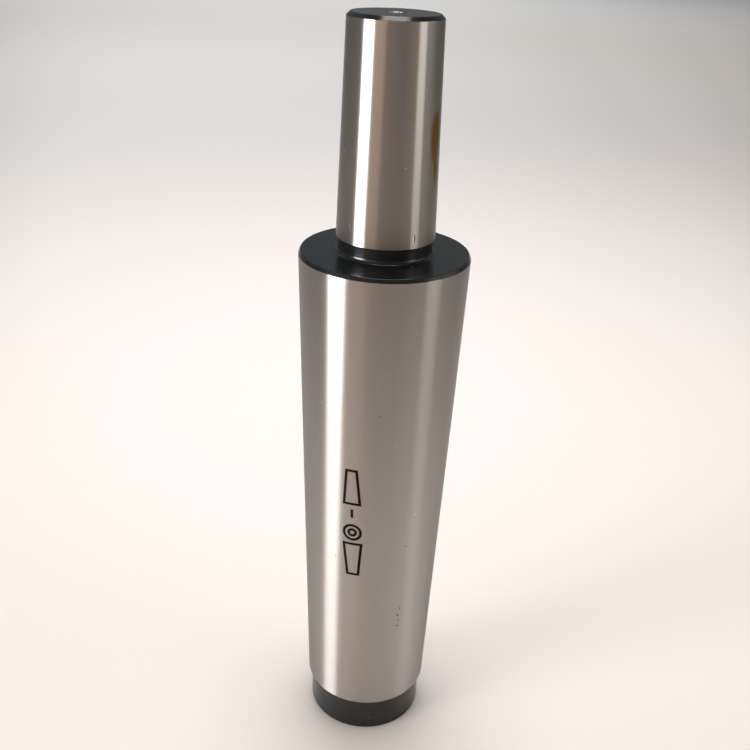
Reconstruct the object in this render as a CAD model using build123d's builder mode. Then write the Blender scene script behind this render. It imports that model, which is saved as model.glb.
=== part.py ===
from build123d import *
import math
import os

# Drill chuck arbor: a Morse taper 4 shank for a machine spindle and a B18 taper for the drill chuck.
# It is one bar of steel, turned, hardened, blackened and then ground on its two tapers. Millimetres.
# The origin is the centre of the small end face, which it stands on. +Z runs along the axis to the nose.

# Morse taper 4 shank. Its diameter is fixed at the gauge plane, a little below the shoulder.
shank_length = 109.0
shank_gauge_diameter = 31.267
shank_gauge_to_shoulder = 6.5
shank_taper = 1 / 19.254

# Shoulder: the turned face at the big end of the shank, with a steep chamfer round it.
shoulder_chamfer_width = 0.4
shoulder_chamfer_height = 0.7

# Relief: the plain cylinder at the small end, turned to less than the taper that is ground above it.
relief_length = 8.5
relief_step = 0.8
relief_corner_radius = 0.4
taper_edge_break = 0.1
end_edge_break = 0.15

# Neck: the groove between shoulder and chuck taper, which keeps the chuck off the shoulder.
neck_width = 2.8
neck_depth = 0.42
neck_root_radius = 0.8
neck_top_radius = 0.3

# B18 chuck taper. Its diameter is fixed at a gauge plane above its rim.
stub_length = 37.0
stub_gauge_diameter = 17.780
stub_gauge_to_rim = 5.0
stub_taper = 1 / 20.020
stub_rim_break = 0.1
nose_chamfer = 0.65

# Drawbar hole in the small end: the core hole of an M16 thread, a plain bore that clears the screw,
# and a mouth that is a 60 degree centre.
thread_diameter = 16.0
thread_pitch = 2.0
thread_length = 36.0
thread_lead_in_angle = 120
drill_point_angle = 118
screw_clearance = 0.5
clearance_length = 6.0
end_centre_width = 1.5
least_end_ring = 0.5

# Centre hole in the nose. The arbor turns between both centres while its tapers are ground.
nose_pilot_diameter = 1.6
nose_pilot_depth = 3.5
nose_centre_width = 0.875
centre_angle = 60

same_height = 0.001


def shank_radius(height):
    """Radius of the Morse taper at a height above the small end face."""
    gauge_height = shank_length - shank_gauge_to_shoulder
    return (shank_gauge_diameter + (height - gauge_height) * shank_taper) / 2


def stub_radius(height):
    """Radius of the chuck taper at a height above its rim."""
    return (stub_gauge_diameter - (height - stub_gauge_to_rim) * stub_taper) / 2


def cone_depth(narrowing, angle):
    """Depth over which a cone of one included angle narrows by a radius."""
    return narrowing / math.tan(math.radians(angle / 2))


def rims(height):
    """Circular edges of the arbor at one height, the smallest first."""
    circles = chuck_arbor.edges().filter_by(GeomType.CIRCLE)
    level = circles.filter_by_position(Axis.Z, height - same_height, height + same_height)
    return level.sort_by(SortBy.RADIUS)


# Heights along the axis
shoulder_chamfer_foot = shank_length - shoulder_chamfer_height
rim_height = shank_length + neck_width
nose_height = rim_height + stub_length

# Radii of the turned faces, each taken from the ground taper beside it
relief_radius = shank_radius(relief_length) - relief_step
shoulder_radius = shank_radius(shank_length) - shoulder_chamfer_width
neck_radius = stub_radius(0) - neck_depth

# Radii and heights of the drawbar hole, from its mouth inwards. The mouth is an edge of the end face,
# so its wall limits it: a flat ring is left round it, on which the arbor stands.
core_radius = (thread_diameter - thread_pitch) / 2
clearance_radius = thread_diameter / 2 + screw_clearance
widest_mouth_radius = relief_radius - end_edge_break - least_end_ring
mouth_radius = min(clearance_radius + end_centre_width, widest_mouth_radius)
clearance_start = cone_depth(mouth_radius - clearance_radius, centre_angle)
clearance_end = clearance_start + clearance_length
thread_start = clearance_end + cone_depth(clearance_radius - core_radius, thread_lead_in_angle)
thread_end = thread_start + thread_length
drill_tip = thread_end + cone_depth(core_radius, drill_point_angle)

with BuildPart() as chuck_arbor:
    # The outside, from the axis at the small end face up to the axis at the nose
    with BuildSketch(Plane.XZ) as turned_outline:
        with BuildLine():
            Polyline(
                (0, 0),
                (relief_radius, 0),
                (relief_radius, relief_length),
                (shank_radius(relief_length), relief_length),
                (shank_radius(shoulder_chamfer_foot), shoulder_chamfer_foot),
                (shoulder_radius, shank_length),
                (neck_radius, shank_length),
                (neck_radius, rim_height),
                (stub_radius(0), rim_height),
                (stub_radius(stub_length), nose_height),
                (0, nose_height),
                close=True,
            )
        make_face()
    revolve(axis=Axis.Z)

    # The drawbar hole, from its mouth to the drill point
    with BuildSketch(Plane.XZ) as drawbar_hole_outline:
        with BuildLine():
            Polyline(
                (0, 0),
                (mouth_radius, 0),
                (clearance_radius, clearance_start),
                (clearance_radius, clearance_end),
                (core_radius, thread_start),
                (core_radius, thread_end),
                (0, drill_tip),
                close=True,
            )
        make_face()
    revolve(axis=Axis.Z, mode=Mode.SUBTRACT)

    # The nose centre, a pilot hole with a conical mouth
    with Locations(Plane.XY.offset(nose_height)):
        CounterSinkHole(
            radius=nose_pilot_diameter / 2,
            counter_sink_radius=nose_pilot_diameter / 2 + nose_centre_width,
            depth=nose_pilot_depth,
            counter_sink_angle=centre_angle,
        )

    # Corners that the turning tool leaves round
    fillet(rims(shank_length)[0], radius=neck_root_radius)
    fillet(rims(rim_height)[0], radius=neck_top_radius)
    fillet(rims(relief_length)[0], radius=relief_corner_radius)

    # Edges that are broken, and the black chamfer of the nose
    chamfer(rims(nose_height)[-1], length=nose_chamfer)
    chamfer(rims(rim_height)[-1], length=stub_rim_break)
    chamfer(rims(relief_length)[-1], length=taper_edge_break)
    chamfer(rims(0)[-1], length=end_edge_break)

chuck_arbor.part.label = "chuck_arbor"

os.makedirs("parts", exist_ok=True)
export_step(chuck_arbor.part, "parts/chuck_arbor.step")
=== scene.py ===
import math
import bmesh
import bpy
from mathutils import Matrix, Vector


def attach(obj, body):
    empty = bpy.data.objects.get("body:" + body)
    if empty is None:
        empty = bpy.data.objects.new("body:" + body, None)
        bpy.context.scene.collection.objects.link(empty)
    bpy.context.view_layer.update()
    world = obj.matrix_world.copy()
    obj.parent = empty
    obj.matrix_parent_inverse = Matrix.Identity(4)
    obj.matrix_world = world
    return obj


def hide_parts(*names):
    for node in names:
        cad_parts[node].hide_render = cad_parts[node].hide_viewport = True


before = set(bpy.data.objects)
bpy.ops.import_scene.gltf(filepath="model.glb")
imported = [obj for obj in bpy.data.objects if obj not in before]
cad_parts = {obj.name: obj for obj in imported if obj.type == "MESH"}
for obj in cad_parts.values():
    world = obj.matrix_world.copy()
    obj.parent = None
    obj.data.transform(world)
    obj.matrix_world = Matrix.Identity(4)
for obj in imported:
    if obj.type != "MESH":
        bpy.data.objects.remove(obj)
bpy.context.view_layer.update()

# A drill chuck arbor of ground and blackened steel, standing on its small end. Its sizes are in
# millimetres, as its maker has them, and MM turns them to metres. The studio round it is in metres.
MM = 0.001

# Morse taper 4 shank
SHANK_LENGTH = 109.0
SHANK_GAUGE_DIAMETER = 31.267
SHANK_GAUGE_HEIGHT = 102.5
SHANK_TAPER = 1 / 19.254
SHOULDER_CHAMFER_WIDTH = 0.4
SHOULDER_CHAMFER_HEIGHT = 0.7
RELIEF_LENGTH = 8.5
RELIEF_STEP = 0.8

# Neck and B18 chuck taper
NECK_WIDTH = 2.8
NECK_DEPTH = 0.42
STUB_LENGTH = 37.0
STUB_GAUGE_DIAMETER = 17.780
STUB_GAUGE_TO_RIM = 5.0
STUB_TAPER = 1 / 20.020
NOSE_CHAMFER = 0.65

# Drawbar hole: a conical mouth, a plain bore and the core hole of the M16 thread
MOUTH_RADIUS = 10.0
BORE_RADIUS = 8.5
BORE_LENGTH = 6.0
CORE_RADIUS = 7.0
CORE_LENGTH = 36.0
THREAD_PITCH = 2.0
THREAD_CREST_RADIUS = 7.1
THREAD_ROOT_RADIUS = 8.0
THREAD_END = 43.0         # the tap stops short of the drilled hole's end

# Nose centre
CENTRE_MOUTH_RADIUS = 1.675
PILOT_RADIUS = 0.8
PILOT_DEPTH = 3.5
PILOT_POINT = 0.46

# Included angles of the cones, in degrees
CENTRE_ANGLE = 60
LEAD_IN_ANGLE = 120
DRILL_POINT_ANGLE = 118

# How finely the shapes are drawn
FACETS_ROUND = 192        # round the arbor
THREAD_FACETS = 96        # round one turn of the thread
RING_BESIDE_BEND = 0.06   # a ring this far from each rounded corner keeps the long faces true, mm
SMOOTH_BELOW = 35         # faces that meet at less than this angle shade as one, degrees
SAME_POINT = 0.001        # points closer than this are one, mm
SAME_LEVEL = 0.0001       # heights and radii closer than this are the same, mm


def shank_radius(height):
    """Radius of the shank's taper at a height above the small end."""
    return (SHANK_GAUGE_DIAMETER + (height - SHANK_GAUGE_HEIGHT) * SHANK_TAPER) / 2


def stub_radius(height):
    """Radius of the chuck taper at a height above its rim."""
    return (STUB_GAUGE_DIAMETER - (height - STUB_GAUGE_TO_RIM) * STUB_TAPER) / 2


def cone_depth(narrowing, angle):
    """Depth over which a cone of one included angle narrows by a radius."""
    return narrowing / math.tan(math.radians(angle / 2))


# Heights and radii of the turned faces
CHAMFER_FOOT = SHANK_LENGTH - SHOULDER_CHAMFER_HEIGHT
RIM_HEIGHT = SHANK_LENGTH + NECK_WIDTH
NOSE_HEIGHT = RIM_HEIGHT + STUB_LENGTH
NOSE_EDGE = NOSE_HEIGHT - NOSE_CHAMFER
PILOT_START = NOSE_HEIGHT - cone_depth(CENTRE_MOUTH_RADIUS - PILOT_RADIUS, CENTRE_ANGLE)
PILOT_END = NOSE_HEIGHT - PILOT_DEPTH
RELIEF_RADIUS = shank_radius(RELIEF_LENGTH) - RELIEF_STEP
SHOULDER_RADIUS = shank_radius(SHANK_LENGTH) - SHOULDER_CHAMFER_WIDTH
NECK_RADIUS = stub_radius(0) - NECK_DEPTH

# Heights in the drawbar hole. The skin stops in the lead-in, just outside the thread's root, and a
# ring of faces joins it to the thread.
BORE_START = cone_depth(MOUTH_RADIUS - BORE_RADIUS, CENTRE_ANGLE)
BORE_END = BORE_START + BORE_LENGTH
SKIN_END_RADIUS = THREAD_ROOT_RADIUS + 0.1
SKIN_END = BORE_END + cone_depth(BORE_RADIUS - SKIN_END_RADIUS, LEAD_IN_ANGLE)
THREAD_START = BORE_END + cone_depth(BORE_RADIUS - CORE_RADIUS, LEAD_IN_ANGLE)
CORE_END = THREAD_START + CORE_LENGTH
DRILL_TIP = CORE_END + cone_depth(CORE_RADIUS, DRILL_POINT_ANGLE)


# Camera

# The photograph is taken from close by and a little above the nose, with a 44 mm lens on a 36 mm sensor.
PICTURE_SIZE = 750              # pixels across and down
FOCAL_LENGTH = 906.5            # pixels
LENS_AXIS = (375.1, 415.18)     # where the lens points, pixels from the left and from the top
SENSOR_WIDTH = 36.0             # mm
CAMERA_DISTANCE = 159.44        # in front of the arbor's axis, mm
CAMERA_HEIGHT = 162.16          # above the small end, mm
CAMERA_TURN = 0.0018            # to the left, radians
CAMERA_TILT = 0.5031            # down, radians
CAMERA_ROLL = 0.0465            # anticlockwise, radians

middle = (PICTURE_SIZE - 1) / 2
camera = bpy.data.cameras.new("camera")
camera.sensor_width = SENSOR_WIDTH
camera.lens = FOCAL_LENGTH / PICTURE_SIZE * SENSOR_WIDTH
camera.shift_x = (middle - LENS_AXIS[0]) / PICTURE_SIZE
camera.shift_y = (LENS_AXIS[1] - middle) / PICTURE_SIZE
camera.clip_start = 0.01
camera_object = bpy.data.objects.new("camera", camera)
bpy.context.scene.collection.objects.link(camera_object)
camera_object.matrix_world = (
    Matrix.Translation((0.0, -CAMERA_DISTANCE * MM, CAMERA_HEIGHT * MM))
    @ Matrix.Rotation(CAMERA_TURN, 4, "Z")
    @ Matrix.Rotation(math.pi / 2 - CAMERA_TILT, 4, "X")
    @ Matrix.Rotation(CAMERA_ROLL, 4, "Z")
)
bpy.context.scene.camera = camera_object
bpy.context.scene.view_settings.view_transform = "Standard"


# Modelling

def start_profile(name, point):
    """One vertex at a radius and height, from which a profile is drawn."""
    bpy.ops.object.select_all(action="DESELECT")
    bpy.ops.mesh.primitive_plane_add(size=MM)
    piece = bpy.context.object
    piece.name = name
    piece.data.name = name
    bpy.ops.object.mode_set(mode="EDIT")
    bpy.ops.mesh.select_mode(type="VERT")
    bpy.ops.mesh.select_all(action="SELECT")
    bpy.ops.mesh.merge(type="CENTER")
    bpy.ops.transform.translate(value=(point[0] * MM, 0, point[1] * MM))
    return piece


def draw_profile(points):
    """Extrudes the selected vertex from corner to corner."""
    for (r0, z0), (r1, z1) in zip(points, points[1:]):
        step = ((r1 - r0) * MM, 0, (z1 - z0) * MM)
        bpy.ops.mesh.extrude_vertices_move(TRANSFORM_OT_translate={"value": step})


def with_rings(corners):
    """The profile's points: each rounded corner gets a point before and after its bend."""
    points = []
    for index, (point, offset, facets) in enumerate(corners):
        here = Vector(point)
        if offset:
            reach = offset + RING_BESIDE_BEND
            before = Vector(corners[index - 1][0])
            after = Vector(corners[index + 1][0])
            points.append(here + (before - here).normalized() * reach)
            points.append(here)
            points.append(here + (after - here).normalized() * reach)
        else:
            points.append(here)
    return [(p.x, p.y) for p in points]


def round_corner(piece, point, offset, facets):
    """Bevels the profile's vertex at a radius and height."""
    corner = Vector((point[0] * MM, 0, point[1] * MM))
    bpy.ops.mesh.select_all(action="DESELECT")
    mesh = bmesh.from_edit_mesh(piece.data)
    for vertex in mesh.verts:
        vertex.select_set((vertex.co - corner).length < SAME_POINT * MM)
    mesh.select_flush_mode()
    bmesh.update_edit_mesh(piece.data)
    bpy.ops.mesh.bevel(offset=offset * MM, offset_type="OFFSET", segments=facets, affect="VERTICES")


def spin_round(facets):
    """Turns the profile once round the axis, and closes its seam and its poles."""
    bpy.ops.mesh.select_all(action="SELECT")
    bpy.ops.mesh.spin(steps=facets, angle=2 * math.pi, center=(0, 0, 0), axis=(0, 0, 1))
    bpy.ops.mesh.select_all(action="SELECT")
    bpy.ops.mesh.remove_doubles(threshold=SAME_POINT * MM)


# The skin, from the lead-in of the thread round the outside to the tip of the nose centre: corner,
# how much of it is rounded in mm, and the facets of its bend
skin = [
    ((SKIN_END_RADIUS, SKIN_END), 0, 0),
    ((BORE_RADIUS, BORE_END), 0.05, 2),
    ((BORE_RADIUS, BORE_START), 0.08, 2),
    ((MOUTH_RADIUS, 0), 0.05, 2),
    ((RELIEF_RADIUS, 0), 0.17, 4),
    ((RELIEF_RADIUS, RELIEF_LENGTH), 0.4, 6),
    ((shank_radius(RELIEF_LENGTH), RELIEF_LENGTH), 0.12, 4),
    ((shank_radius(CHAMFER_FOOT), CHAMFER_FOOT), 0.05, 3),
    ((SHOULDER_RADIUS, SHANK_LENGTH), 0.08, 4),
    ((NECK_RADIUS, SHANK_LENGTH), 0.8, 10),
    ((NECK_RADIUS, RIM_HEIGHT), 0.3, 6),
    ((stub_radius(0), RIM_HEIGHT), 0.1, 4),
    ((stub_radius(STUB_LENGTH - NOSE_CHAMFER), NOSE_EDGE), 0.06, 3),
    ((stub_radius(STUB_LENGTH) - NOSE_CHAMFER, NOSE_HEIGHT), 0.07, 3),
    ((CENTRE_MOUTH_RADIUS, NOSE_HEIGHT), 0.04, 2),
    ((PILOT_RADIUS, PILOT_START), 0.03, 2),
    ((PILOT_RADIUS, PILOT_END), 0.05, 2),
    ((0, PILOT_END - PILOT_POINT), 0, 0),
]
points = with_rings(skin)
arbor = start_profile("arbor", points[0])
draw_profile(points)
for point, offset, facets in skin:
    if offset:
        round_corner(arbor, point, offset, facets)
spin_round(FACETS_ROUND)
bpy.ops.object.mode_set(mode="OBJECT")

# The thread: its tooth, wound up the hole by a screw from below its start, and cut off square at both
# ends. As in any metric nut, the flat at the crest is a quarter of the pitch and at the root an eighth.
CREST_FLAT = THREAD_PITCH / 4
ROOT_FLAT = THREAD_PITCH / 8
FLANK = (THREAD_PITCH - CREST_FLAT - ROOT_FLAT) / 2
RUN_IN = 0.7       # the first turn ends this far below the thread's start, mm
SPARE_TURNS = 3    # wound past its end, and cut off
tooth = [
    (THREAD_CREST_RADIUS, -THREAD_PITCH),
    (THREAD_CREST_RADIUS, -THREAD_PITCH + CREST_FLAT),
    (THREAD_ROOT_RADIUS, -FLANK - ROOT_FLAT),
    (THREAD_ROOT_RADIUS, -FLANK),
    (THREAD_CREST_RADIUS, 0),
]
thread = start_profile("thread", (THREAD_CREST_RADIUS, THREAD_START - RUN_IN - THREAD_PITCH))
draw_profile(tooth)
bpy.ops.object.mode_set(mode="OBJECT")
winding = thread.modifiers.new("winding", "SCREW")
winding.screw_offset = THREAD_PITCH * MM
winding.iterations = int((THREAD_END - THREAD_START) / THREAD_PITCH) + SPARE_TURNS
winding.steps = THREAD_FACETS
winding.render_steps = THREAD_FACETS
winding.use_merge_vertices = True
winding.merge_threshold = SAME_POINT * MM
bpy.ops.object.modifier_apply(modifier=winding.name)
bpy.ops.object.mode_set(mode="EDIT")
for height, above in ((THREAD_START, False), (THREAD_END, True)):
    bpy.ops.mesh.select_all(action="SELECT")
    bpy.ops.mesh.bisect(
        plane_co=(0, 0, height * MM), plane_no=(0, 0, 1), use_fill=False,
        clear_outer=above, clear_inner=not above, threshold=SAME_LEVEL * MM,
    )
bpy.ops.object.mode_set(mode="OBJECT")

# The core hole beyond the thread, with the drill's point
core_outline = [(CORE_RADIUS, THREAD_END), (CORE_RADIUS, CORE_END), (0, DRILL_TIP)]
core = start_profile("core", core_outline[0])
draw_profile(core_outline)
spin_round(THREAD_FACETS)
bpy.ops.object.mode_set(mode="OBJECT")

# The three are joined, and the ring between their rims is filled below and above the thread.
RIM_REACH = 0.01   # the rims lie this close to the two heights, mm
bpy.ops.object.select_all(action="DESELECT")
for piece in (thread, core, arbor):
    piece.select_set(True)
bpy.context.view_layer.objects.active = arbor
bpy.ops.object.join()
bpy.ops.object.mode_set(mode="EDIT")
bpy.ops.mesh.select_mode(type="EDGE")
for low, high in ((SKIN_END, THREAD_START), (THREAD_END, THREAD_END)):
    bpy.ops.mesh.select_all(action="DESELECT")
    mesh = bmesh.from_edit_mesh(arbor.data)
    for edge in mesh.edges:
        heights = [vertex.co.z / MM for vertex in edge.verts]
        if edge.is_boundary and min(heights) > low - RIM_REACH and max(heights) < high + RIM_REACH:
            edge.select_set(True)
    bmesh.update_edit_mesh(arbor.data)
    bpy.ops.mesh.fill()

# The upper fill closes the core hole as well, so the faces inside its rim are taken out again.
bpy.ops.mesh.select_mode(type="FACE")
bpy.ops.mesh.select_all(action="DESELECT")
mesh = bmesh.from_edit_mesh(arbor.data)
for face in mesh.faces:
    face.select_set(all(
        abs(vertex.co.z / MM - THREAD_END) < SAME_LEVEL
        and math.hypot(vertex.co.x, vertex.co.y) / MM < CORE_RADIUS + SAME_LEVEL
        for vertex in face.verts
    ))
bmesh.update_edit_mesh(arbor.data)
bpy.ops.mesh.delete(type="FACE")
bpy.ops.mesh.select_mode(type="VERT")
bpy.ops.mesh.select_all(action="SELECT")
bpy.ops.mesh.remove_doubles(threshold=SAME_POINT * MM)
bpy.ops.mesh.select_all(action="SELECT")
bpy.ops.mesh.normals_make_consistent(inside=False)
bpy.ops.object.mode_set(mode="OBJECT")
bpy.ops.object.shade_smooth_by_angle(angle=math.radians(SMOOTH_BELOW))

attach(arbor, "root")
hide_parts("chuck_arbor")


# Materials

def linear(colour):
    """An sRGB hex value as the linear colour that a shader takes."""
    channels = [int(colour[i:i + 2], 16) / 255 for i in (0, 2, 4)]
    return [c / 12.92 if c <= 0.04045 else ((c + 0.055) / 1.055) ** 2.4 for c in channels] + [1.0]


def add(tree, kind, links=None, **settings):
    """A node with its settings, and with its sockets linked or set.

    A mix has its mask at socket 0, and two numbers at 2 and 3 or two colours at 6 and 7.
    """
    node = tree.nodes.new(kind)
    for name, value in settings.items():
        setattr(node, name, value)
    for socket, source in (links or {}).items():
        if isinstance(source, bpy.types.NodeSocket):
            tree.links.new(source, node.inputs[socket])
        else:
            node.inputs[socket].default_value = source
    return node


def new_material(name):
    material = bpy.data.materials.new(name)
    material.use_nodes = True
    material.node_tree.nodes.clear()
    return material, material.node_tree


def unrolled(tree):
    """The place on the arbor's skin laid flat, in mm: along the arc from the camera's side, and up."""
    place = add(tree, "ShaderNodeTexCoord")
    parts = add(tree, "ShaderNodeSeparateXYZ", {0: place.outputs["Object"]})
    front = add(tree, "ShaderNodeMath", {0: parts.outputs["Y"], 1: -1.0}, operation="MULTIPLY")
    angle = add(tree, "ShaderNodeMath", {
        0: parts.outputs["X"], 1: front.outputs[0],
    }, operation="ARCTAN2")
    level = add(tree, "ShaderNodeVectorMath", {
        0: place.outputs["Object"], 1: (1, 1, 0),
    }, operation="MULTIPLY")
    radius = add(tree, "ShaderNodeVectorMath", {0: level.outputs[0]}, operation="LENGTH")
    arc = add(tree, "ShaderNodeMath", {
        0: angle.outputs[0], 1: radius.outputs["Value"],
    }, operation="MULTIPLY")
    flat = add(tree, "ShaderNodeCombineXYZ", {0: arc.outputs[0], 1: parts.outputs["Z"]})
    in_mm = add(tree, "ShaderNodeVectorMath", {0: flat.outputs[0], "Scale": 1 / MM}, operation="SCALE")
    return in_mm.outputs[0]


def rings(tree, pitch, length, contrast):
    """Grinding or turning lines round the arbor: their pitch and the length of one line, in mm."""
    place = add(tree, "ShaderNodeTexCoord")
    around = 1 / (length * MM)
    stretched = add(tree, "ShaderNodeMapping", {
        "Vector": place.outputs["Object"], "Scale": (around, around, 1 / (pitch * MM)),
    })
    lines = add(tree, "ShaderNodeTexNoise", {
        "Vector": stretched.outputs[0], "Scale": 1.0, "Detail": 3.0, "Roughness": 0.6,
    })
    return add(tree, "ShaderNodeMapRange", {
        "Value": lines.outputs[0], "From Min": 0.5 - contrast, "From Max": 0.5 + contrast,
    }).outputs[0]


def spots(tree, flat, full, places):
    """A mask of oval spots, each full out to this share of its size and fading from there to its edge.

    A spot has the arc and height of its middle, its half width, its half height and its lean in degrees.
    """
    mask = None
    for arc, height, half_width, half_height, lean in places:
        oval = add(tree, "ShaderNodeMapping", {
            "Vector": flat, "Location": (arc, height, 0), "Rotation": (0, 0, math.radians(lean)),
            "Scale": (half_width, half_height, 1),
        }, vector_type="TEXTURE")
        out = add(tree, "ShaderNodeVectorMath", {0: oval.outputs[0]}, operation="LENGTH")
        spot = add(tree, "ShaderNodeMapRange", {
            "Value": out.outputs["Value"], "From Min": 1.0, "From Max": full,
        })
        if mask:
            spot = add(tree, "ShaderNodeMath", {0: mask, 1: spot.outputs[0]}, operation="MAXIMUM")
        mask = spot.outputs[0]
    return mask


ETCHING_ARC = -3.95      # middle of the etching, round the arc from the camera's side, mm
ETCHING_HEIGHT = 57.65   # and its height, mm
ETCHING_LEAN = 0.037     # its axis leans with the taper's side
HALF_STROKE = 0.28       # half the width of its line, mm
HALF_BLUR = 0.06         # half the width over which the line fades out, mm


def etched_shape(tree, flat, kind, height, half_length, half_width, narrowing):
    """A mask of one drawn line: the outline of a taper from its side, or a circle for its end."""
    arc = ETCHING_ARC + (ETCHING_HEIGHT - height) * ETCHING_LEAN
    here = add(tree, "ShaderNodeMapping", {
        "Vector": flat, "Location": (arc, height, 0), "Rotation": (0, 0, math.atan(ETCHING_LEAN)),
    }, vector_type="TEXTURE")
    if kind == "end":
        out = add(tree, "ShaderNodeVectorMath", {0: here.outputs[0]}, operation="LENGTH")
        inside = add(tree, "ShaderNodeMath", {
            0: half_width, 1: out.outputs["Value"],
        }, operation="SUBTRACT")
    else:
        side = add(tree, "ShaderNodeSeparateXYZ", {0: here.outputs[0]})
        aside = add(tree, "ShaderNodeMath", {0: side.outputs["X"]}, operation="ABSOLUTE")
        along = add(tree, "ShaderNodeMath", {0: side.outputs["Y"]}, operation="ABSOLUTE")
        edge = add(tree, "ShaderNodeMath", {
            0: side.outputs["Y"], 1: narrowing, 2: half_width,
        }, operation="MULTIPLY_ADD")
        from_side = add(tree, "ShaderNodeMath", {
            0: edge.outputs[0], 1: aside.outputs[0],
        }, operation="SUBTRACT")
        from_end = add(tree, "ShaderNodeMath", {
            0: half_length, 1: along.outputs[0],
        }, operation="SUBTRACT")
        inside = add(tree, "ShaderNodeMath", {
            0: from_side.outputs[0], 1: from_end.outputs[0],
        }, operation="MINIMUM")
    from_line = add(tree, "ShaderNodeMath", {0: inside.outputs[0], 1: HALF_STROKE}, operation="SUBTRACT")
    distance = add(tree, "ShaderNodeMath", {0: from_line.outputs[0]}, operation="ABSOLUTE")
    return add(tree, "ShaderNodeMapRange", {
        "Value": distance.outputs[0],
        "From Min": HALF_STROKE + HALF_BLUR, "From Max": HALF_STROKE - HALF_BLUR,
    }).outputs[0]


# Hardened tool steel, ground between centres. The wheel leaves fine rings round the taper, which
# draw every lamp out into a long upright streak and keep its sides sharp. At a grazing angle steel
# reflects less than a mirror would, so the taper darkens towards its sides.
ground_steel, tree = new_material("cylindrically_ground_tool_steel")
flat = unrolled(tree)
around = add(tree, "ShaderNodeTangent", direction_type="RADIAL", axis="Z")
# Rings of a 60 grit wheel are some 0.05 mm apart, under a third of a pixel, so they are drawn 0.4 mm
# apart.
grinding = rings(tree, pitch=0.4, length=14.0, contrast=0.25)
passes = rings(tree, pitch=5.0, length=40.0, contrast=0.3)

# Laser-etched pictogram: the shank's taper from the side and from its end, a dash, the chuck taper.
# Each line has its kind, its height on the shank, its half length and half width, and its narrowing.
etched = None
for row in (
    ("side", 48.9, 4.1, 1.75, 0.09),
    ("end", 55.55, 0, 2.0, 0),
    ("end", 55.55, 0, 1.0, 0),
    ("side", 60.1, 1.0, 0.27, 0),
    ("side", 66.2, 4.1, 1.6, -0.08),
):
    shape = etched_shape(tree, flat, *row)
    if etched:
        shape = add(tree, "ShaderNodeMath", {0: etched, 1: shape}, operation="MAXIMUM").outputs[0]
    etched = shape

# Small nicks, drawn near-white: a painted glint where they catch the light. Then darkened dings and
# dried drops of oil
painted_nick_glints = spots(tree, flat, full=0.4, places=[
    (-17.9, 101.7, 0.16, 0.3, 0), (-11.5, 82.8, 0.15, 0.3, 0), (3.9, 76.3, 0.14, 0.14, 0),
    (-9.44, 127.2, 0.2, 0.35, 0), (2.84, 125.8, 0.3, 0.12, 20), (-6.98, 115.0, 0.12, 1.1, 14),
    (9.05, 59.1, 0.6, 0.1, 15), (5.1, 113.6, 0.1, 0.8, 0), (26.0, 71.0, 0.14, 0.3, 0),
    (-31.0, 92.0, 0.15, 0.2, 0), (38.0, 44.0, 0.12, 0.5, 10), (18.0, 138.0, 0.12, 0.3, 0),
])
# The dings' darkened colour is painted shade in their dents; the dried drops of oil are their own
# colour.
oil_and_painted_ding_shade = spots(tree, flat, full=0.5, places=[
    (6.79, 32.1, 0.12, 0.55, -8), (6.5, 33.6, 0.2, 0.4, 20), (6.6, 30.6, 0.2, 0.35, 0),
    (6.9, 35.4, 0.1, 0.5, 0), (-8.32, 97.0, 0.14, 0.14, 0), (-8.98, 70.2, 0.12, 0.12, 0),
    (-9.15, 60.7, 0.12, 0.14, 0), (-7.37, 48.5, 0.14, 0.14, 0), (-9.63, 80.2, 0.1, 0.14, 0),
    (5.35, 113.7, 0.16, 0.9, 0), (7.26, 51.7, 0.5, 0.08, -15), (0.47, 82.6, 0.1, 0.3, 0),
    (29.0, 58.0, 0.14, 0.5, 12), (-27.0, 36.0, 0.12, 0.3, 0), (-38.0, 77.0, 0.14, 0.14, 0),
    (-20.0, 121.0, 0.12, 0.4, 0),
])

# An amber stain of dried rust oil, whose edge strays round and up by as much as this, mm
STAIN_STRAY = (0.8, 1.6, 0)
ripple = add(tree, "ShaderNodeTexNoise", {"Vector": flat, "Scale": 0.6, "Detail": 2.0})
wander = add(tree, "ShaderNodeVectorMath", {
    0: ripple.outputs["Color"], 1: (0.5, 0.5, 0.5),
}, operation="SUBTRACT")
strayed = add(tree, "ShaderNodeVectorMath", {
    0: wander.outputs[0], 1: STAIN_STRAY, 2: flat,
}, operation="MULTIPLY_ADD")
amber = spots(tree, strayed.outputs[0], full=0.6, places=[
    (9.35, 130.3, 1.9, 5.1, 0), (9.9, 125.0, 0.8, 3.8, 6),
])

# Each mark lies over the last, with its colour, its roughness and its depth beside the rings' own.
colour = linear("B0ABA6")
for mask, tint in (
    (grinding, "B4AFAA"), (passes, "B2ADA8"),
    # The nicks' near-white is a painted glint, and the dings' darker brown is painted shade.
    (etched, "2A231F"), (painted_nick_glints, "F2F0EC"), (oil_and_painted_ding_shade, "4A3E34"), (amber, "9E7E45"),
):
    mix = add(tree, "ShaderNodeMix", {0: mask, 6: colour, 7: linear(tint)}, data_type="RGBA")
    colour = mix.outputs[2]
roughness = 0.28
for mask, rough in ((grinding, 0.29), (etched, 0.5), (painted_nick_glints, 0.5), (amber, 0.33)):
    mix = add(tree, "ShaderNodeMix", {0: mask, 2: roughness, 3: rough}, data_type="FLOAT")
    roughness = mix.outputs[0]
relief = grinding
for mask, depth in ((oil_and_painted_ding_shade, -8.0), (etched, -3.0)):
    mix = add(tree, "ShaderNodeMix", {0: mask, 2: relief, 3: depth}, data_type="FLOAT")
    relief = mix.outputs[0]
bump = add(tree, "ShaderNodeBump", {"Height": relief, "Strength": 0.12, "Distance": 0.0015 * MM})
steel = add(tree, "ShaderNodeBsdfPrincipled", {
    "Base Color": colour,
    "Metallic": 1.0,
    "Roughness": roughness,
    "Specular Tint": linear("C8C8C8"),
    "Anisotropic": 1.0,
    "Anisotropic Rotation": 0.25,
    "Tangent": around.outputs[0],
    "Normal": bump.outputs[0],
})
add(tree, "ShaderNodeOutputMaterial", {"Surface": steel.outputs[0]})

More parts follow.
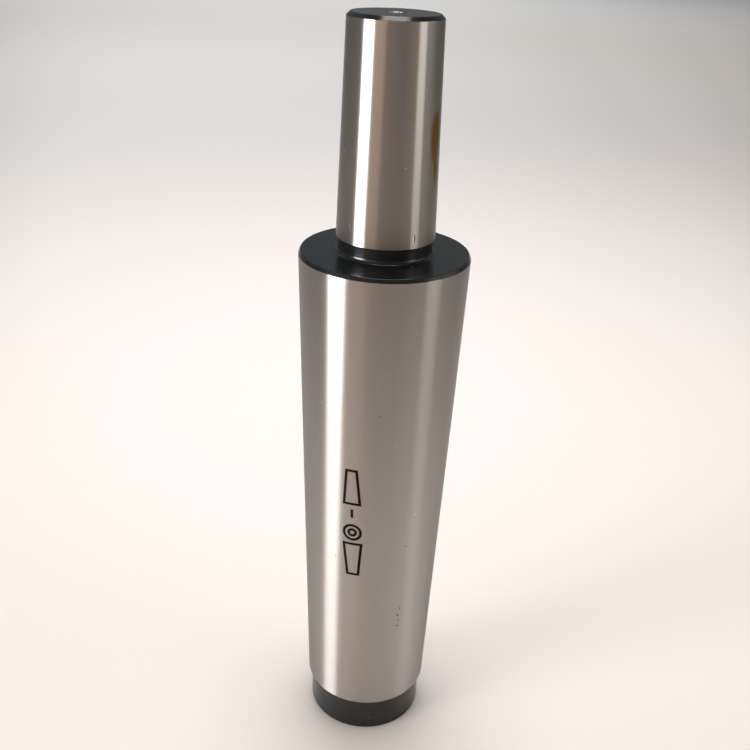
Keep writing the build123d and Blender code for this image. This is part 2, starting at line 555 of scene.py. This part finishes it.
# Black oxide, a thin skin that the hot salt bath leaves on turned steel: blue-black and glossy where
# the tool cut finely, with a faint bloom, the tool's fine rings and a few pale grains of dried salt.
black_oxide, tree = new_material("black_oxide_on_turned_steel")
BLOOM_WIDTH = 6.0   # mm
GRAIN_WIDTH = 0.5   # mm
place = add(tree, "ShaderNodeTexCoord")
around = add(tree, "ShaderNodeTangent", direction_type="RADIAL", axis="Z")
bloom = add(tree, "ShaderNodeTexNoise", {
    "Vector": place.outputs["Object"], "Scale": 1 / (BLOOM_WIDTH * MM), "Detail": 3.0,
})
grain = add(tree, "ShaderNodeTexNoise", {
    "Vector": place.outputs["Object"], "Scale": 1 / (GRAIN_WIDTH * MM), "Detail": 1.0,
})
salt = add(tree, "ShaderNodeMapRange", {"Value": grain.outputs[0], "From Min": 0.76, "From Max": 0.79})
turning = rings(tree, pitch=0.35, length=25.0, contrast=0.3)
colour = linear("0D1011")
for mask, tint in ((bloom.outputs[0], "15191B"), (salt.outputs[0], "8C8A84")):
    mix = add(tree, "ShaderNodeMix", {0: mask, 6: colour, 7: linear(tint)}, data_type="RGBA")
    colour = mix.outputs[2]
roughness = add(tree, "ShaderNodeMix", {0: bloom.outputs[0], 2: 0.17, 3: 0.25}, data_type="FLOAT")
bump = add(tree, "ShaderNodeBump", {"Height": turning, "Strength": 0.2, "Distance": 0.003 * MM})
oxide = add(tree, "ShaderNodeBsdfPrincipled", {
    "Base Color": colour,
    "Roughness": roughness.outputs[0],
    "IOR": 1.46,
    "Anisotropic": 0.5,
    "Anisotropic Rotation": 0.25,
    "Tangent": around.outputs[0],
    "Normal": bump.outputs[0],
})
add(tree, "ShaderNodeOutputMaterial", {"Surface": oxide.outputs[0]})

# Both tapers are ground bright between these heights, and their faces lie no deeper than the skin.
# The nose centre is lapped bright after hardening, up to its mouth. All else stays black. In mm.
SHANK_FOOT = RELIEF_LENGTH + 0.02
SHANK_TOP = CHAMFER_FOOT + 0.01
SHANK_SKIN = 0.2
STUB_FOOT = RIM_HEIGHT + 0.03
STUB_SKIN = 0.15
CENTRE_TOP = NOSE_HEIGHT - 0.03


def is_bright(height, radius):
    """Whether the wheel or the lap has cut the black skin away at a height and radius."""
    if SHANK_FOOT < height < SHANK_TOP and radius > shank_radius(height) - SHANK_SKIN:
        return True
    if STUB_FOOT < height < NOSE_EDGE and radius > stub_radius(height - RIM_HEIGHT) - STUB_SKIN:
        return True
    return PILOT_START < height < CENTRE_TOP and radius < CENTRE_MOUTH_RADIUS


arbor.data.materials.clear()
arbor.data.materials.append(ground_steel)
arbor.data.materials.append(black_oxide)
for face in arbor.data.polygons:
    radius = math.hypot(face.center.x, face.center.y) / MM
    face.material_index = 0 if is_bright(face.center.z / MM, radius) else 1


# Studio

FLOOR_RADIUS = 12.0
LIT_HALF_WIDTH = 0.13
LIT_WIDENING = 0.35
bpy.ops.object.select_all(action="DESELECT")
bpy.ops.mesh.primitive_circle_add(vertices=96, radius=FLOOR_RADIUS, fill_type="NGON")
floor = bpy.context.object
floor.name = "floor"

# A paper floor of warm white, painted darker to both sides and towards the camera: painted shade where
# the lamps' light falls away, and a painted shadow in front. The lit middle grows wider to the back, and
# its edges lie outside the picture, where they fade out. Far away, the floor pales.
paper, tree = new_material("paper_floor_with_painted_shade")
place = add(tree, "ShaderNodeTexCoord")
parts = add(tree, "ShaderNodeSeparateXYZ", {0: place.outputs["Object"]})
behind = add(tree, "ShaderNodeMath", {0: parts.outputs["Y"], 1: 0.0}, operation="MAXIMUM")
half_width = add(tree, "ShaderNodeMath", {
    0: behind.outputs[0], 1: LIT_WIDENING, 2: LIT_HALF_WIDTH,
}, operation="MULTIPLY_ADD")
aside = add(tree, "ShaderNodeMath", {0: parts.outputs["X"]}, operation="ABSOLUTE")
share = add(tree, "ShaderNodeMath", {0: aside.outputs[0], 1: half_width.outputs[0]}, operation="DIVIDE")
painted_shade_sides = add(tree, "ShaderNodeMapRange", {
    "Value": share.outputs[0], "From Min": 0.7, "From Max": 1.7,
}, interpolation_type="SMOOTHSTEP")
painted_shadow_front = add(tree, "ShaderNodeMapRange", {
    "Value": parts.outputs["Y"], "From Min": -0.03, "From Max": -0.36,
}, interpolation_type="SMOOTHSTEP")
painted_shade = add(tree, "ShaderNodeMath", {
    0: painted_shade_sides.outputs[0], 1: painted_shadow_front.outputs[0],
}, operation="MAXIMUM")
distance = add(tree, "ShaderNodeVectorMath", {0: place.outputs["Object"]}, operation="LENGTH")
far = add(tree, "ShaderNodeMapRange", {
    "Value": distance.outputs["Value"], "From Min": 0.7, "From Max": 2.6,
}, interpolation_type="SMOOTHSTEP")
colour = linear("F0EAE5")
# The warm grey is painted shade, laid over the floor's sides and front.
for mask, tint in ((painted_shade.outputs[0], "ADA8A2"), (far.outputs[0], "DCE0E4")):
    mix = add(tree, "ShaderNodeMix", {0: mask, 6: colour, 7: linear(tint)}, data_type="RGBA")
    colour = mix.outputs[2]
floor_surface = add(tree, "ShaderNodeBsdfPrincipled", {
    "Base Color": colour,
    "Roughness": 0.9,
    "Specular IOR Level": 0.2,
})
add(tree, "ShaderNodeOutputMaterial", {"Surface": floor_surface.outputs[0]})
floor.data.materials.append(paper)

# Lamp panels. Azimuth 0 is the camera's side, and to the right is positive, in degrees. Then come the
# distance from the axis, the height, the width and the length in metres, the brightness, the colour
# and the beam in degrees. A panel faces the arbor, or hangs level and shines straight down.
for name, azimuth, distance, height, width, length, brightness, colour, beam, level in (
    ("left_strip", -62, 2.4, 0.33, 1.06, 0.38, 7.6, "FFFFFF", 60, False),
    ("front_left", -34, 1.6, 0.4, 0.8, 0.8, 0.21, "FFDFC5", 90, False),
    ("right_window", 68, 1.2, 0.35, 0.42, 0.7, 0.46, "FFFFFA", 90, False),
    ("overhead", 180, 0.12, 0.75, 0.35, 0.35, 2.28, "FFFBF9", 80, True),
    ("back_left", -165, 0.85, 0.9, 0.7, 0.7, 1.0, "E6F3FF", 100, True),
    ("back_far", -172, 2.2, 1.3, 1.6, 1.6, 1.15, "FFFDF9", 120, True),
):
    lamp = bpy.data.lights.new(name, "AREA")
    lamp.shape = "RECTANGLE"
    lamp.size = width
    lamp.size_y = length
    lamp.spread = math.radians(beam)
    lamp.energy = brightness * width * length * math.pi
    lamp.color = linear(colour)[:3]
    panel = bpy.data.objects.new(name, lamp)
    bpy.context.scene.collection.objects.link(panel)
    panel.visible_camera = False
    turn = math.radians(azimuth)
    panel.location = (distance * math.sin(turn), -distance * math.cos(turn), height)
    if not level:
        target = Vector((0, 0, height))
        panel.rotation_euler = (target - panel.location).to_track_quat("-Z", "Y").to_euler()

# The room round the table: azimuth in degrees from the camera's side, and its colour there
views = [
    (-180, "5A6062"), (-140, "4A4A4A"), (-100, "524C48"), (-64, "896E59"), (-32, "DCAA82"),
    (0, "9E7260"), (28, "4A3A32"), (50, "CBAD8B"), (70, "E7E0D3"), (90, "FFFFFB"),
    (115, "7B766C"), (145, "4A4A4A"), (180, "5A6062"),
]
world = bpy.data.worlds.new("studio")
bpy.context.scene.world = world
world.use_nodes = True
world.node_tree.nodes.clear()
tree = world.node_tree
direction = add(tree, "ShaderNodeTexCoord")
parts = add(tree, "ShaderNodeSeparateXYZ", {0: direction.outputs["Generated"]})
front = add(tree, "ShaderNodeMath", {0: parts.outputs["Y"], 1: -1.0}, operation="MULTIPLY")
azimuth = add(tree, "ShaderNodeMath", {
    0: parts.outputs["X"], 1: front.outputs[0],
}, operation="ARCTAN2")
turned = add(tree, "ShaderNodeMapRange", {
    "Value": azimuth.outputs[0], "From Min": -math.pi, "From Max": math.pi, "To Min": 0.0, "To Max": 1.0,
})
room = add(tree, "ShaderNodeValToRGB", {0: turned.outputs[0]})
ramp = room.color_ramp
ramp.elements[0].position = 0.0
ramp.elements[1].position = 1.0
ramp.elements[0].color = linear(views[0][1])
ramp.elements[1].color = linear(views[-1][1])
for angle, colour in views[1:-1]:
    stop = ramp.elements.new((angle + 180) / 360)
    stop.color = linear(colour)
# The ceiling is grey, and so is the far end of the table, which the room meets in a haze.
rise = add(tree, "ShaderNodeMapRange", {
    "Value": parts.outputs["Z"], "From Min": 0.22, "From Max": 0.56,
}, interpolation_type="SMOOTHSTEP")
walls = add(tree, "ShaderNodeMix", {
    0: rise.outputs[0], 6: room.outputs[0], 7: linear("5B5B5B"),
}, data_type="RGBA")
clearing = add(tree, "ShaderNodeMapRange", {
    "Value": parts.outputs["Z"], "From Min": 0.02, "From Max": 0.34,
}, interpolation_type="SMOOTHSTEP")
hazy = add(tree, "ShaderNodeMix", {
    0: clearing.outputs[0], 6: linear("585756"), 7: walls.outputs[2],
}, data_type="RGBA")
light = add(tree, "ShaderNodeBackground", {"Color": hazy.outputs[2], "Strength": 2.0})
add(tree, "ShaderNodeOutputWorld", {"Surface": light.outputs[0]})
